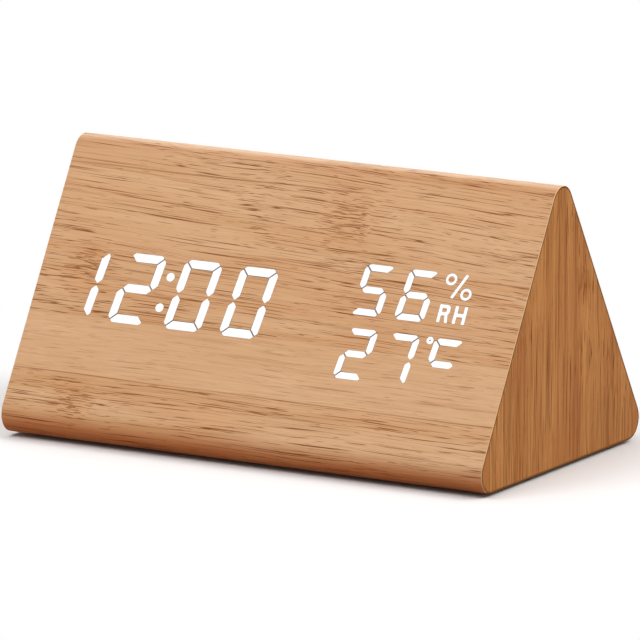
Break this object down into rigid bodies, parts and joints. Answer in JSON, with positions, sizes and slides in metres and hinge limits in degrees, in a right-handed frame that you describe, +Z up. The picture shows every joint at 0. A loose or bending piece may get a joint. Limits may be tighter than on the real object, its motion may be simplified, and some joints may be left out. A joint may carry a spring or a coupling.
{
  "type": "digital led desk clock",
  "caption": "Triangular prism desk clock in bamboo film, with lit time, humidity and temperature digits on its sloping face and keys, power jack and battery door behind.",
  "frame": {"origin": "on the table, below the middle of the case's box", "axes": "+X along the case to the viewer's right, the display looks towards -Y and up, +Z up"},
  "size_m": [0.15, 0.0864, 0.0773],
  "materials": {
    "mdf": "raw fibreboard",
    "bamboo_film": "printed vinyl film, satin",
    "end_film": "printed vinyl film, satin",
    "reflector": "moulded grey",
    "lit_bars": "lit diffuser",
    "unlit_bars": "unlit, film coloured",
    "diffuser": "milky casting",
    "led": "phosphor",
    "circuit": "solder mask",
    "chip": "moulded epoxy",
    "steel": "zinc plated",
    "black_abs": "moulded, fine texture",
    "button": "moulded, satin",
    "switch": "moulded",
    "jack": "moulded",
    "pin": "plated",
    "can": "drawn can",
    "sensor": "moulded",
    "holder": "moulded",
    "cell": "plain jacket",
    "contact": "nickel plated spring steel",
    "ribbon": "vinyl",
    "socket": "moulded nylon",
    "lead": "vinyl sheath",
    "foot": "moulded rubber"
  },
  "bodies": {
    "case": {"front_board": "mdf", "back_board": "mdf", "base_board": "mdf", "wood_grain_wrap": "bamboo_film", "left_end_panel": "mdf", "right_end_panel": "mdf", "left_end_film": "end_film", "right_end_film": "end_film", "display_reflector": "reflector", "time_segments_lit": "lit_bars", "time_segments_unlit": "unlit_bars", "humidity_segments_lit": "lit_bars", "humidity_segments_unlit": "unlit_bars", "temperature_segments_lit": "lit_bars", "temperature_segments_unlit": "unlit_bars", "colon_dots": "lit_bars", "degree_dot": "lit_bars", "unit_sign_diffuser": "diffuser", "segment_leds": "led", "display_board": "circuit", "display_screws": "steel", "driver_chip": "chip", "rear_plate": "black_abs", "plate_screws": "steel", "battery_cells": "cell", "battery_contacts": "contact", "control_board": "circuit", "board_screws": "steel", "switch_bodies": "switch", "power_jack": "jack", "jack_pin": "pin", "microphone": "can", "climate_sensor": "sensor", "microcontroller": "chip", "clock_crystal": "can", "buzzer": "chip", "cell_holder": "holder", "backup_cell": "steel", "ribbon_sockets": "socket", "display_ribbon": "ribbon", "battery_leads": "lead", "rubber_feet": "foot"},
    "set_key": {"set_button": "button", "set_plunger": "switch"},
    "up_key": {"up_button": "button", "up_plunger": "switch"},
    "down_key": {"down_button": "button", "down_plunger": "switch"},
    "door": {"battery_door": "black_abs"}
  },
  "joints": [
    {"name": "set_press", "type": "slide", "parent": "case", "child": "set_key", "axis": [0, -0.866, -0.5], "range_m": [0, 0.0006], "stiffness_N_per_m": 400, "springref_m": -0.002},
    {"name": "up_press", "type": "slide", "parent": "case", "child": "up_key", "axis": [0, -0.866, -0.5], "range_m": [0, 0.0006], "stiffness_N_per_m": 400, "springref_m": -0.002},
    {"name": "down_press", "type": "slide", "parent": "case", "child": "down_key", "axis": [0, -0.866, -0.5], "range_m": [0, 0.0006], "stiffness_N_per_m": 400, "springref_m": -0.002},
    {"name": "door_hinge", "type": "hinge", "parent": "case", "child": "door", "pos_m": [-0.0238, 0.03815, 0.01936], "axis": [-1, 0, 0], "range_deg": [0, 35]}
  ]
}
